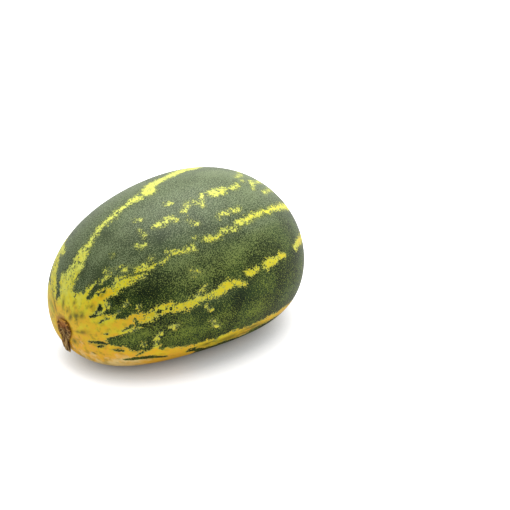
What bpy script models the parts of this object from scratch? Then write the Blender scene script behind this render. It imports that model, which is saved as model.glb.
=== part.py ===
"""A small striped cucumber, lying on its side as picked.

The fruit grew in one piece, so rind and flesh are one solid. Two pieces of its own are on it: the dry,
corky remnant of the flower at the blossom end (-X), and the short cut stub of the stem at the other end
(+X). Metres, +Z up. The origin is under the middle of the whole part, on the surface that it lies on.
"""
import math

import bmesh
import bpy
from mathutils import Matrix, Vector
from mathutils.bvhtree import BVHTree

# The fruit's size: its length without the stub, and its greatest width
FRUIT_LENGTH = 0.1205
FRUIT_WIDTH = 0.080

# How the girth runs from the blossom end (-1) to the stem end (+1)
BLOSSOM_ROUNDNESS = 0.46
STEM_ROUNDNESS = 0.66
FULLER_TO_STEM = 0.046
FULLER_SHOULDERS = 0.24
BELLY_FLATNESS = 0.165

# The fruit's own axis arches up, most near the blossom end, and leans a little to one side
ARCH_HEIGHT = 0.0080
ARCH_SKEW = -0.5
SIDE_BEND = -0.006

# The hollow round the stem, the shallow one under the flower's remnant, and the fruit's resting spot
DIMPLE_DEPTH = 0.0035
DIMPLE_RADIUS = 0.010
BLOSSOM_DIMPLE_DEPTH = 0.0006
BLOSSOM_DIMPLE_RADIUS = 0.006
FLAT_DEPTH = 0.0003

# The blossom end hangs a few degrees lower than the stem end
NOD_ANGLE = math.radians(5)

# Pieces that touch keep this gap
TOUCHING_GAP = 0.0003

# The flower's remnant: a corky disc with a torn rim, and one dry flap that stands off below it
SCAR_RADIUS = 0.0048
SCAR_THICKNESS = 0.0009
SCAR_LOBES = ((1, 0.17, -1.3), (3, 0.04, 0.5), (7, 0.03, 1.9))
FLAP_LENGTH = 0.0059
FLAP_HALF_ANGLE = 0.36
FLAP_LIFT = 0.0008
FLAP_DIRECTION = (0.0, -0.12, -0.99)

# The stem's stub: five ribs that spread into the fruit, and a dished cut
STUB_LENGTH = 0.0075
STUB_RIBS = 5
STUB_RIB_DEPTH = 0.07

# Outlines that are turned about their own axis. The disc's are in parts of its radius and thickness
SCAR_OUTLINE = (
    (0.0, 0.0), (0.45, 0.0), (0.8, 0.0), (1.0, 0.3), (0.94, 1.0),
    (0.78, 0.85), (0.55, 0.55), (0.3, 0.45), (0.0, 0.55),
)
STUB_OUTLINE = (
    (0.0, 0.0), (0.003, 0.0), (0.0056, 0.0), (0.0058, 0.0006), (0.0047, 0.0016), (0.0039, 0.0032),
    (0.0036, 0.0052), (0.0037, 0.0070), (0.0034, STUB_LENGTH), (0.0024, 0.0070), (0.0, 0.0068),
)

# How finely the round pieces are divided
FRUIT_SIDES = 64
FRUIT_RINGS = 44
TURNED_SIDES = 40

# Colour (linear), roughness and metallic value of each piece
RIND = ((0.085, 0.120, 0.030), 0.38, 0.0)
CORK = ((0.150, 0.085, 0.060), 0.85, 0.0)
STEM = ((0.270, 0.260, 0.110), 0.75, 0.0)


def clear_scene():
    """Empties the scene of whatever it opened with."""
    for thing in list(bpy.data.objects):
        bpy.data.objects.remove(thing, do_unlink=True)


def make_material(name, finish):
    """One plain material from a colour, a roughness and a metallic value."""
    colour, roughness, metallic = finish
    material = bpy.data.materials.new(name)
    material.use_nodes = True
    shader = material.node_tree.nodes["Principled BSDF"]
    shader.inputs["Base Color"].default_value = (*colour, 1.0)
    shader.inputs["Roughness"].default_value = roughness
    shader.inputs["Metallic"].default_value = metallic
    return material


def make_object(name, shape, finish):
    """Turns a finished bmesh into a smooth-shaded object with its own material."""
    mesh = bpy.data.meshes.new(name)
    shape.to_mesh(mesh)
    shape.free()
    mesh.shade_smooth()
    mesh.materials.append(make_material(name, finish))
    piece = bpy.data.objects.new(name, mesh)
    bpy.context.scene.collection.objects.link(piece)
    return piece


def girth(along):
    """The fruit's relative girth at a place along it, from -1 to +1."""
    middle = (BLOSSOM_ROUNDNESS + STEM_ROUNDNESS) / 2
    roundness = middle + (STEM_ROUNDNESS - BLOSSOM_ROUNDNESS) / 2 * along
    fullness = 1 + FULLER_TO_STEM * along + FULLER_SHOULDERS * along * along
    return max(1 - along * along, 0.0) ** roundness * fullness


def widest_girth():
    """The greatest relative girth, which the fruit's width belongs to."""
    steps = 200
    return max(girth(2 * step / steps - 1) for step in range(steps + 1))


def axis_point(along):
    """Middle of the cross-section at a place along the fruit."""
    arch = 1 - along * along
    height = ARCH_HEIGHT * arch * (1 + ARCH_SKEW * along)
    return Vector((FRUIT_LENGTH / 2 * along, SIDE_BEND * arch, height))


def skin_point(along, around, widest):
    """Point of the skin at a place along the fruit and at an angle around it."""
    radius = FRUIT_WIDTH / 2 * girth(along) / widest
    rise = math.sin(around)
    belly = 1 - BELLY_FLATNESS * rise * rise if rise < 0 else 1.0
    point = axis_point(along) + Vector((0, radius * math.cos(around), radius * rise * belly))
    if along > 0:
        point.x -= DIMPLE_DEPTH * math.exp(-((radius / DIMPLE_RADIUS) ** 2))
    else:
        point.x += BLOSSOM_DIMPLE_DEPTH * math.exp(-((radius / BLOSSOM_DIMPLE_RADIUS) ** 2))
    return point


def lying_pose(shape):
    """The pose that lets the blossom end nod and sinks the flat spot's depth below the surface."""
    nod = Matrix.Rotation(-NOD_ANGLE, 4, "Y")
    lowest = min((nod @ vertex.co).z for vertex in shape.verts)
    return Matrix.Translation((0, 0, -lowest - FLAT_DEPTH)) @ nod


def cut_flat_spot(shape, pose):
    """Cuts away what lies below the surface in the lying pose, and closes the cut with one flat face."""
    to_fruit = pose.inverted()
    everything = shape.verts[:] + shape.edges[:] + shape.faces[:]
    bmesh.ops.bisect_plane(
        shape,
        geom=everything,
        plane_co=to_fruit.translation,
        plane_no=to_fruit.to_3x3() @ Vector((0, 0, 1)),
        clear_inner=True,
    )
    rim = [edge for edge in shape.edges if edge.is_boundary]
    bmesh.ops.holes_fill(shape, edges=rim, sides=len(rim))


def fruit_shape():
    """Rind and flesh in one solid, with its axis along X, and the pose that it lies in."""
    shape = bmesh.new()
    poles_along_x = Matrix.Rotation(math.pi / 2, 4, "Y")
    bmesh.ops.create_uvsphere(
        shape, u_segments=FRUIT_SIDES, v_segments=FRUIT_RINGS, radius=1.0, matrix=poles_along_x
    )
    widest = widest_girth()
    for vertex in shape.verts:
        along = max(-1.0, min(1.0, vertex.co.x))
        vertex.co = skin_point(along, math.atan2(vertex.co.z, vertex.co.y), widest)
    pose = lying_pose(shape)
    cut_flat_spot(shape, pose)
    bmesh.ops.recalc_face_normals(shape, faces=shape.faces)
    return shape, pose


def frame_on_skin(skin, outward, sideways):
    """Frame on the skin where the fruit's own axis leaves it: +Z points outwards and +X sideways."""
    outward = Vector(outward)
    start = outward * FRUIT_LENGTH
    spot = skin.ray_cast(start, -outward)[0]
    across = outward.cross(Vector(sideways).normalized())
    columns = Matrix((across.cross(outward), across, outward)).transposed()
    return Matrix.Translation(spot) @ columns.to_4x4()


def skin_height(skin, frame, x, y):
    """Height of the skin over a frame's ground plane at one place."""
    outward = frame.to_3x3() @ Vector((0, 0, 1))
    start = frame @ Vector((x, y, FRUIT_LENGTH / 4))
    spot = skin.ray_cast(start, -outward)[0]
    return (frame.inverted() @ spot).z


def turned_shape(outline):
    """Closed shape turned about Z from an outline that starts and ends on the axis."""
    shape = bmesh.new()
    points = [shape.verts.new((radius, 0, height)) for radius, height in outline]
    lines = [shape.edges.new(pair) for pair in zip(points, points[1:])]
    bmesh.ops.spin(
        shape,
        geom=points + lines,
        cent=(0, 0, 0),
        axis=(0, 0, 1),
        angle=2 * math.pi,
        steps=TURNED_SIDES,
        use_merge=True,
    )
    bmesh.ops.remove_doubles(shape, verts=shape.verts, dist=0.000001)
    bmesh.ops.recalc_face_normals(shape, faces=shape.faces)
    return shape


def scar_rim(angle):
    """Radius of the torn rim at an angle from the flap."""
    lobes = sum(depth * math.cos(count * angle + start) for count, depth, start in SCAR_LOBES)
    flap = FLAP_LENGTH * math.exp(-((angle / FLAP_HALF_ANGLE) ** 4))
    return SCAR_RADIUS * (1 + lobes) + flap


def blossom_scar(skin):
    """The flower's corky remnant, seated on the skin, with its flap lifting off towards its tip."""
    frame = frame_on_skin(skin, (-1, 0, 0), FLAP_DIRECTION)
    shape = turned_shape(SCAR_OUTLINE)
    for vertex in shape.verts:
        share = math.hypot(vertex.co.x, vertex.co.y)
        angle = math.atan2(vertex.co.y, vertex.co.x)
        reach = share * scar_rim(angle)
        x = reach * math.cos(angle)
        y = reach * math.sin(angle)
        lift = FLAP_LIFT * max(reach / SCAR_RADIUS - 1, 0.0) ** 2
        height = skin_height(skin, frame, x, y) + TOUCHING_GAP + lift
        vertex.co = (x, y, height + SCAR_THICKNESS * vertex.co.z)
    return make_object("blossom_scar", shape, CORK), frame


def stem_stub(skin):
    """The cut stub of the stem, whose ribs spread into the hollow at the fruit's end."""
    frame = frame_on_skin(skin, (1, 0, 0), (0, 0, 1))
    shape = turned_shape(STUB_OUTLINE)
    for vertex in shape.verts:
        rib = 1 + STUB_RIB_DEPTH * math.cos(STUB_RIBS * math.atan2(vertex.co.y, vertex.co.x))
        x = vertex.co.x * rib
        y = vertex.co.y * rib
        seat = skin_height(skin, frame, x, y) + TOUCHING_GAP
        vertex.co = (x, y, vertex.co.z + seat * (1 - vertex.co.z / STUB_LENGTH))
    return make_object("stem_stub", shape, STEM), frame


def place(piece, parent, frame):
    """Hangs a piece on its parent at a frame, by its location and rotation."""
    piece.parent = parent
    piece.location = frame.translation
    piece.rotation_euler = frame.to_euler()


def centre_on_origin(holder, pieces):
    """Slides the holder so that the origin is under the middle of the pieces' common box."""
    bpy.context.view_layer.update()
    corners = [piece.matrix_world @ vertex.co for piece in pieces for vertex in piece.data.vertices]
    for axis in (0, 1):
        reach = [corner[axis] for corner in corners]
        holder.location[axis] -= (min(reach) + max(reach)) / 2


def main():
    """Builds the fruit with its two end pieces, and lays it down."""
    clear_scene()
    shape, pose = fruit_shape()
    skin = BVHTree.FromBMesh(shape)
    fruit = make_object("fruit", shape, RIND)
    scar, scar_frame = blossom_scar(skin)
    stub, stub_frame = stem_stub(skin)

    holder = bpy.data.objects.new("lying_pose", None)
    bpy.context.scene.collection.objects.link(holder)
    place(holder, None, pose)
    place(fruit, holder, Matrix.Identity(4))
    place(scar, fruit, scar_frame)
    place(stub, fruit, stub_frame)
    centre_on_origin(holder, (fruit, scar, stub))


main()
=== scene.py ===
# %% [markdown]
# # A small striped cucumber
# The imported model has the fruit's size, the flower's remnant at one end and the stem's stub at the
# other. This lesson gives them their skin: dark green with fine light speckles, broken yellow
# stripes from end to end, and a golden cap round the blossom end. The model comes in as a fixed
# frame, and each new piece is made in the same place as the solid that it stands for.

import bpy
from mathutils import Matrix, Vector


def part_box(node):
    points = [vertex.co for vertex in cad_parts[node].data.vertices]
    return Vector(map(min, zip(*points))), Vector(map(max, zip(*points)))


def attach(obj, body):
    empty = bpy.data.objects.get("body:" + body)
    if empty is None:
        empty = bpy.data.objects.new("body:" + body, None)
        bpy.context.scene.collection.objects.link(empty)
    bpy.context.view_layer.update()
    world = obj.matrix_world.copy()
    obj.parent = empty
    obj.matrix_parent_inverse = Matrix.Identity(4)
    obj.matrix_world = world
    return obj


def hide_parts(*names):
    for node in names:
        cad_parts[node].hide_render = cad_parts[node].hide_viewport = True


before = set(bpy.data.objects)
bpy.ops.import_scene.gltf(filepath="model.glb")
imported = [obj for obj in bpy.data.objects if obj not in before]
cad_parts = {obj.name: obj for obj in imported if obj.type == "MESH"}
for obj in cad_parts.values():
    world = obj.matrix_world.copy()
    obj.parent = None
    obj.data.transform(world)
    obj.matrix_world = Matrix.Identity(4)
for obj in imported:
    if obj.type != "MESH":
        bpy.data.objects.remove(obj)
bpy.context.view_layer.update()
print("nodes:", sorted(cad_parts))

# %% Blender's modules for what follows
import math
import random

import bmesh
import bpy
import numpy as np
from mathutils import Matrix, Vector, noise
from mathutils.bvhtree import BVHTree

scene = bpy.context.scene
MM = 1000.0  # millimetres in a metre

# %% [markdown]
# ## The camera
# The fruit is seen from a little above and from its blossom end, through a long lens, so it shows
# little perspective. A camera can be placed by hand, or held on a target by a constraint. Here it
# is worked out from what a photographer would name: the turn round the fruit, the tilt, the
# distance and the lens.

# %% Camera
CAMERA_TURN = math.radians(-39.06)
CAMERA_TILT = math.radians(26)
CAMERA_DISTANCE = 0.75
CAMERA_LENS = 123.8
CAMERA_AIM = Vector((0.0226, -0.0161, 0.0358))

backwards = Vector((
    math.sin(CAMERA_TURN) * math.cos(CAMERA_TILT),
    -math.cos(CAMERA_TURN) * math.cos(CAMERA_TILT),
    math.sin(CAMERA_TILT),
))


def put_in_scene(name, data):
    """Makes an object of a mesh, a lamp or a camera, and links it to the scene."""
    made = bpy.data.objects.new(name, data)
    scene.collection.objects.link(made)
    return made


camera_data = bpy.data.cameras.new("camera")
camera_data.lens = CAMERA_LENS
camera = put_in_scene("camera", camera_data)
camera.location = CAMERA_AIM + CAMERA_DISTANCE * backwards
camera.rotation_euler = backwards.to_track_quat("Z", "Y").to_euler()
scene.camera = camera
print("camera at", [round(value, 3) for value in camera.location])

# %% [markdown]
# ## Building materials from nodes
# Each finish below is a small network of nodes. Nodes can be added one at a time in the editor; in
# a script, short helpers keep it readable: one adds any node and fills its sockets, and the rest
# use it for what comes often, such as a sum. A socket takes a number or a node's output.

# %% Helpers for nodes
RELIEF_DEPTH = 0.0002


def new_material(name):
    """A material with its node tree and its shader."""
    material = bpy.data.materials.new(name)
    material.use_nodes = True
    return material, material.node_tree, material.node_tree.nodes["Principled BSDF"]


def fill(tree, made, sockets):
    """Sets or links the sockets of a node, by name or number."""
    for key, value in sockets.items():
        if isinstance(value, bpy.types.NodeSocket):
            tree.links.new(value, made.inputs[key])
        else:
            made.inputs[key].default_value = value


def add(tree, kind, sockets, output=0, **settings):
    """Adds one node and returns one of its outputs."""
    made = tree.nodes.new("ShaderNode" + kind)
    for key, value in settings.items():
        setattr(made, key, value)
    fill(tree, made, sockets)
    return made.outputs[output]


def sum_of(tree, operation, first, second=0.0, third=0.0):
    """One step of arithmetic."""
    return add(tree, "Math", {0: first, 1: second, 2: third}, operation=operation)


def times(tree, first, second):
    """One number times another."""
    return sum_of(tree, "MULTIPLY", first, second)


def mix(tree, share, first, second):
    """Share 0 gives the first colour and share 1 the second."""
    return add(tree, "Mix", {0: share, 6: first, 7: second}, output=2, data_type="RGBA")


def steps(tree, value, low, high, to_low=0.0, to_high=1.0):
    """Smooth step: to_low below the low value, to_high above the high one."""
    sockets = {0: value, 1: low, 2: high, 3: to_low, 4: to_high}
    return add(tree, "MapRange", sockets, interpolation_type="SMOOTHSTEP")


def scatter(tree, where, scale, detail=2.0, roughness=0.5):
    """Noise between 0 and 1, of so many grains to a metre."""
    sockets = {"Vector": where, "Scale": scale, "Detail": detail, "Roughness": roughness}
    return add(tree, "TexNoise", sockets)


def stretched(tree, where, along, across, detail=3.0, roughness=0.6):
    """Noise with grains of unequal length: so many to a metre along, and so many across."""
    drawn_out = add(tree, "Mapping", {"Vector": where, "Scale": (along, across, across)})
    return scatter(tree, drawn_out, 1.0, detail, roughness)


def push(tree, value, grains, strength):
    """Lets noise push a value up and down, by at most half the strength."""
    off_middle = sum_of(tree, "SUBTRACT", grains, 0.5)
    return sum_of(tree, "MULTIPLY_ADD", off_middle, strength, value)


def stored(tree, name, output="Fac"):
    """Reads what was stored at the points of the mesh."""
    return add(tree, "Attribute", {}, output=output, attribute_name=name)


def finish_surface(tree, shader, colour, roughness, shine, height, strength):
    """Fills the shader's sockets, and adds a fine relief from a height of 0 to 1."""
    relief = add(tree, "Bump", {"Strength": strength, "Distance": RELIEF_DEPTH, "Height": height})
    fill(tree, shader, {
        "Base Color": colour, "Roughness": roughness, "Specular IOR Level": shine, "Normal": relief,
    })

# %% [markdown]
# ## Floor and light
# The fruit lies on a plain white surface. What shapes it is one wide, soft light above it: it puts
# a broad grey sheen on the upper side, while the side that faces the camera stays deep green and
# the belly takes light back from the floor. A lamp would give a hard spot, and light from all round
# no shape, so it is one large area light in a dim room. White paper that mirrors in a dark waxy
# skin greys it, so the floor itself is darker, and glows instead: for light that is scattered off
# it and for the camera, but not for mirrored light. The glow fades where the fruit covers the
# floor, which keeps the soft shadow.

# %% Floor
FLOOR_SIZE = 4.0
FLOOR_GREY = (0.42, 0.42, 0.42, 1.0)
FLOOR_ROUGHNESS = 0.9
FLOOR_SHINE = 0.1
FLOOR_GLOW = 0.95
FLOOR_WHITENING = 1.35
SHADE_REACH = 0.08
PURE_WHITE = (1.0, 1.0, 1.0, 1.0)


def make_piece(name, shape):
    """Turns a finished bmesh into a smooth-shaded object."""
    mesh = bpy.data.meshes.new(name)
    shape.to_mesh(mesh)
    shape.free()
    mesh.shade_smooth()
    return put_in_scene(name, mesh)


floor_shape = bmesh.new()
bmesh.ops.create_grid(floor_shape, x_segments=1, y_segments=1, size=FLOOR_SIZE / 2)
floor = make_piece("floor", floor_shape)
floor_material, floor_tree, floor_shader = new_material("white paper")
fill(floor_tree, floor_shader, {
    "Base Color": FLOOR_GREY,
    "Roughness": FLOOR_ROUGHNESS,
    "Specular IOR Level": FLOOR_SHINE,
    "Emission Color": PURE_WHITE,
})
open_sky = add(floor_tree, "AmbientOcclusion", {"Distance": SHADE_REACH}, output="AO", samples=16)
seen = add(floor_tree, "LightPath", {}, output="Is Camera Ray")
bounced = add(floor_tree, "LightPath", {}, output="Is Diffuse Ray")
glow = times(floor_tree, bounced, FLOOR_GLOW)
glow = sum_of(floor_tree, "MULTIPLY_ADD", seen, FLOOR_WHITENING, glow)
fill(floor_tree, floor_shader, {"Emission Strength": times(floor_tree, glow, open_sky)})
floor.data.materials.append(floor_material)
print("floor", FLOOR_SIZE, "m wide")

# %% Lights
SOFTBOX_SIZE = 1.3
SOFTBOX_PLACE = (0.34, 0.12, 1.15)
SOFTBOX_POWER = 25.0

softbox_data = bpy.data.lights.new("softbox", "AREA")
softbox_data.shape = "SQUARE"
softbox_data.size = SOFTBOX_SIZE
softbox_data.energy = SOFTBOX_POWER
softbox = put_in_scene("softbox", softbox_data)
softbox.location = SOFTBOX_PLACE
scene.view_settings.view_transform = "Standard"
print("softbox", SOFTBOX_SIZE, "m wide at", SOFTBOX_PLACE)

# %% The room: a white backdrop behind the fruit, and a dim studio on the camera's side
ROOM_LIGHT = 0.12
BACKDROP_LIGHT = 1.0
BACKDROP_SIDE = (0.62, 0.60, 0.50)
BACKDROP_EDGE = 0.9

world = bpy.data.worlds.new("studio")
world.use_nodes = True
scene.world = world
air = world.node_tree
look = add(air, "TexCoord", {}, output="Generated")
directions = {0: look, 1: BACKDROP_SIDE}
behind = add(air, "VectorMath", directions, output="Value", operation="DOT_PRODUCT")
glow = steps(air, behind, 0.0, BACKDROP_EDGE, ROOM_LIGHT, BACKDROP_LIGHT)
seen = add(air, "LightPath", {}, output="Is Camera Ray")
brightness = sum_of(air, "MAXIMUM", glow, seen)
fill(air, air.nodes["Background"], {"Color": PURE_WHITE, "Strength": brightness})
print("room", ROOM_LIGHT, "and backdrop", BACKDROP_LIGHT)

# %% [markdown]
# ## The fruit's form
# A cucumber grows as one long bag: a row of nearly round slices on a slightly bent axis. It could
# be sculpted, or subdivided from a box. Here a ball with its poles on the fruit's ends is pulled
# into shape, because its rings then run round the fruit and its rows along it, as the stripes do.
# The values are those of the solids, so the skin lies where the solid does.

# %% Sizes of the form, in metres
FRUIT_LENGTH = 0.1205
FRUIT_WIDTH = 0.080
BLOSSOM_ROUNDNESS = 0.46
STEM_ROUNDNESS = 0.66
FULLER_TO_STEM = 0.046
FULLER_SHOULDERS = 0.24
BELLY_FLATNESS = 0.165
ARCH_HEIGHT = 0.0080
ARCH_SKEW = -0.5
SIDE_BEND = -0.006
DIMPLE_DEPTH = 0.0035
DIMPLE_RADIUS = 0.010
BLOSSOM_DIMPLE_DEPTH = 0.0006
BLOSSOM_DIMPLE_RADIUS = 0.006
FLAT_DEPTH = 0.0003
NOD_ANGLE = math.radians(5)
print("form:", MM * FRUIT_LENGTH, "by", MM * FRUIT_WIDTH, "mm")


# %% A point of the skin
def girth(along):
    """The fruit's relative girth at a place along it, from -1 to +1."""
    middle = (BLOSSOM_ROUNDNESS + STEM_ROUNDNESS) / 2
    roundness = middle + (STEM_ROUNDNESS - BLOSSOM_ROUNDNESS) / 2 * along
    fullness = 1 + FULLER_TO_STEM * along + FULLER_SHOULDERS * along * along
    return max(1 - along * along, 0.0) ** roundness * fullness


WIDEST = max(girth(step / 100 - 1) for step in range(201))


def skin_point(along, around, dent=0.0):
    """Point of the skin at a place along the fruit and an angle around it, pressed in by a dent."""
    radius = FRUIT_WIDTH / 2 * girth(along) / WIDEST
    rise = math.sin(around)
    belly = 1 - BELLY_FLATNESS * rise * rise if rise < 0 else 1.0
    arch = 1 - along * along
    reach = max(radius - dent, 0.0)
    point = Vector((
        FRUIT_LENGTH / 2 * along,
        SIDE_BEND * arch + reach * math.cos(around),
        ARCH_HEIGHT * arch * (1 + ARCH_SKEW * along) + reach * rise * belly,
    ))
    if along > 0:
        point.x -= DIMPLE_DEPTH * math.exp(-((radius / DIMPLE_RADIUS) ** 2))
    else:
        point.x += BLOSSOM_DIMPLE_DEPTH * math.exp(-((radius / BLOSSOM_DIMPLE_RADIUS) ** 2))
    return point


print("widest girth", round(WIDEST, 3))

# %% [markdown]
# ## The rind
# The rind is smooth, but not as even as glass: it has shallow dents a finger's width apart, which
# make the sheen wander. They are pressed inwards only, so the fruit keeps its width. Fine meshes
# are heavy, but each point also carries the stripes, so they are 0.7 mm apart or less.

# %% Rind: a ball pulled into the fruit's form
RIND_SIDES = 360
RIND_RINGS = 256
DENT_DEPTH = 0.00015
DENTS_ROUND = 2.2

rind_shape = bmesh.new()
poles_along_x = Matrix.Rotation(math.pi / 2, 4, "Y")
bmesh.ops.create_uvsphere(
    rind_shape, u_segments=RIND_SIDES, v_segments=RIND_RINGS, radius=1.0, matrix=poles_along_x
)
ball = np.array([vertex.co for vertex in rind_shape.verts])
along_of = np.clip(ball[:, 0], -1.0, 1.0)
around_of = np.arctan2(ball[:, 2], ball[:, 1])
for vertex, along, around in zip(rind_shape.verts, along_of.tolist(), around_of.tolist()):
    dent = DENT_DEPTH * (0.5 + 0.5 * noise.noise(vertex.co * DENTS_ROUND))
    vertex.co = skin_point(along, around, dent * (1 - along * along))
print(len(rind_shape.verts), "points,", len(rind_shape.faces), "faces")

# %% Lay it down as the solid lies
nod = Matrix.Rotation(-NOD_ANGLE, 4, "Y")
bmesh.ops.transform(rind_shape, matrix=nod, verts=rind_shape.verts)
corners = np.array([vertex.co for vertex in rind_shape.verts])
low_corner, high_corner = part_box("fruit")
middle = (corners.min(0) + corners.max(0)) / 2
slide = Vector((
    (low_corner.x + high_corner.x) / 2 - middle[0],
    (low_corner.y + high_corner.y) / 2 - middle[1],
    -corners.min(0)[2] - FLAT_DEPTH,
))
lying_pose = Matrix.Translation(slide) @ nod
bmesh.ops.translate(rind_shape, vec=slide, verts=rind_shape.verts)
for vertex in rind_shape.verts:
    vertex.co.z = max(vertex.co.z, 0.0)
bmesh.ops.recalc_face_normals(rind_shape, faces=rind_shape.faces)
print("slid by, in mm:", [round(MM * value, 2) for value in slide])

# %% [markdown]
# ## Where the yellow is
# The stripes lie over the ten veins under the rind, and they are broken: a row of flakes with
# ragged ends, solid near the blossom end. A wave pattern would make them even, which no fruit has,
# so they are laid down one by one, as strokes. A stroke is a row of points: how far along the fruit,
# how far around it, and half its width, all in degrees. 0 along is the blossom end and 180 the
# stem; 90 around is the top, 180 the camera's side and 270 the belly. Only the strokes' middles are
# drawn here. The shader frays their edges. A half-width below zero gives no yellow, only some lime
# specks.

# %% Yellow strokes: the long stripes
STRIPES = {
    "top": [
        (18.5, 89.8, 12), (21.1, 91, 12.4), (23.8, 92.3, 10.4), (26.9, 93.1, 8.6),
        (30.7, 93.7, 7.5), (34, 92.5, 6.6), (37.5, 91.4, 5.2), (40.1, 90.9, 3.6), (42.1, 92.1, 2.3),
        (45.2, 89.5, 1.9), (48.2, 89.5, 1.8), (51.3, 87.4, 2.4), (55.2, 88.4, 2.1), (58.2, 89, 2.7),
        (61.2, 86.5, 1.8), (64.2, 87, 1.8), (67.1, 87.6, 1.9), (70, 87.2, 2.9), (72, 86.8, 3.2),
        (75, 86.4, 2.3), (76.9, 86.9, 4.6), (79.9, 82, 3.7), (82.9, 80.6, 3.2), (86.8, 79.3, 3.1),
        (89.7, 80, 2.3), (92.7, 78.6, 2.9), (95.6, 76.8, 3.6), (99.5, 75.1, 4.3),
        (104.4, 74.9, 4.3), (107.3, 73.2, 3.6),
    ],
    "top, far end": [(114.5, 70, 3), (123.5, 69, 4), (135.5, 67, 4), (155, 66, 5), (166, 66, 9)],
    "behind the top": [
        (13.6, 45, 15), (17.8, 52.5, 12), (22.6, 52.8, 9.6), (27.8, 50.3, 9.6), (32.1, 49.4, 8.5),
        (36.5, 45.7, 6),
    ],
    "behind the top, thin": [
        (35.5, 61.1, 2.5), (37.6, 56.4, 3), (39.6, 50.2, 3.5), (45.5, 46, 3), (55.5, 44, 2.5),
        (65.5, 43, 1.5),
    ],
    "behind the top, flake": [(19.9, 76.7, 4.5), (24, 77.6, 4)],
    "tongue": [(26.4, 123.8, 3.6), (29, 123.6, 2.8), (31.4, 123.6, 2), (33.3, 123.8, 1)],
    "upper": [
        (27.2, 134.2, 6.9), (30.5, 135.6, 5), (33.6, 137.1, 4.5), (36.5, 138.7, 3.9),
        (39.3, 138.6, 3.6), (42.1, 138.1, 3.1), (44.6, 138.2, 3.2), (46.8, 139.1, 2.4),
        (48.5, 140, 1.9), (49.8, 140.4, 1.2),
    ],
    "upper, branch": [
        (49.6, 139, 0.7), (50.1, 136.9, 1), (51.1, 135.8, 1.6), (52.5, 136.6, 1.6),
        (54, 137.9, 1.4), (55.3, 138.9, 1.8), (56.5, 138.3, 1),
    ],
    "upper, middle": [
        (80.1, 137.2, 0.7), (81.6, 137.7, 1.5), (83.6, 138.7, 1.2), (85.5, 139.7, 1.2),
        (87.5, 139.2, 0.9), (88.9, 136.8, 1.2), (91.4, 137.1, 1.3), (93.9, 137.3, 1.2),
        (95.8, 138.3, 0.8), (97.3, 137.8, 0.9),
    ],
    "upper, far end": [
        (96.3, 135.8, 0.6), (99.3, 135.3, 1.5), (102.2, 135.3, 1.5), (105.2, 134.3, 1.9),
        (108.1, 133.3, 1.6), (112.1, 133.7, 1.4), (114, 132.2, 1.1), (117, 133.6, 1.5),
        (120.9, 131.5, 1.5), (125.9, 131.4, 2.1), (131.8, 130.1, 2.6), (137.7, 128.9, 3.5),
        (150, 129, 3.5), (165, 128, 5.3),
    ],
    "block": [(95.9, 111, 2.1), (98.1, 111.3, 2.7), (101.1, 111.3, 2.5), (103, 110.4, 1.6)],
    "side": [
        (30.7, 166.4, 11.3), (34.6, 167.6, 8.4), (37.6, 167.5, 6.6), (40.5, 167.1, 5.4),
        (43.3, 167.5, 4.5), (45.9, 169.1, 4), (48.5, 170.3, 3.9), (52.5, 167.7, 3.8),
        (55.5, 168.1, 3.3), (58, 168.2, 3.5), (59.5, 170.2, 2.5), (62.5, 171.1, 2.5),
        (65, 171.6, 3), (67.4, 171.1, 3), (69.9, 170, 2.5), (73.3, 170, 1.6), (76.3, 170.3, 1.8),
        (79.3, 170.3, 2.8), (82.2, 168.5, 3), (85.1, 168.3, 2.8), (88.1, 169, 2.5),
        (91.1, 171, 1.5),
    ],
    "side, far end": [(92.9, 164.1, 1.5), (95, 166, 2.5), (97.9, 165.5, 2)],
    "side, last": [(103.8, 164.5, 3), (112.7, 163.3, 2), (116.7, 164.1, 1)],
    "below, long": [
        (60, 241, 8), (70, 239, 7), (80, 238, 5.5), (90, 237, 4), (98, 237, 3), (106, 236, 1.5),
    ],
    "below, short": [(55, 262, 8), (66, 260, 5), (76, 258, 3), (86, 257, 1.5)],
    "side, stem": [(126.6, 162.6, 2.5), (137.3, 160.6, 4), (156, 164, 5), (168, 164, 8)],
}

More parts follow.
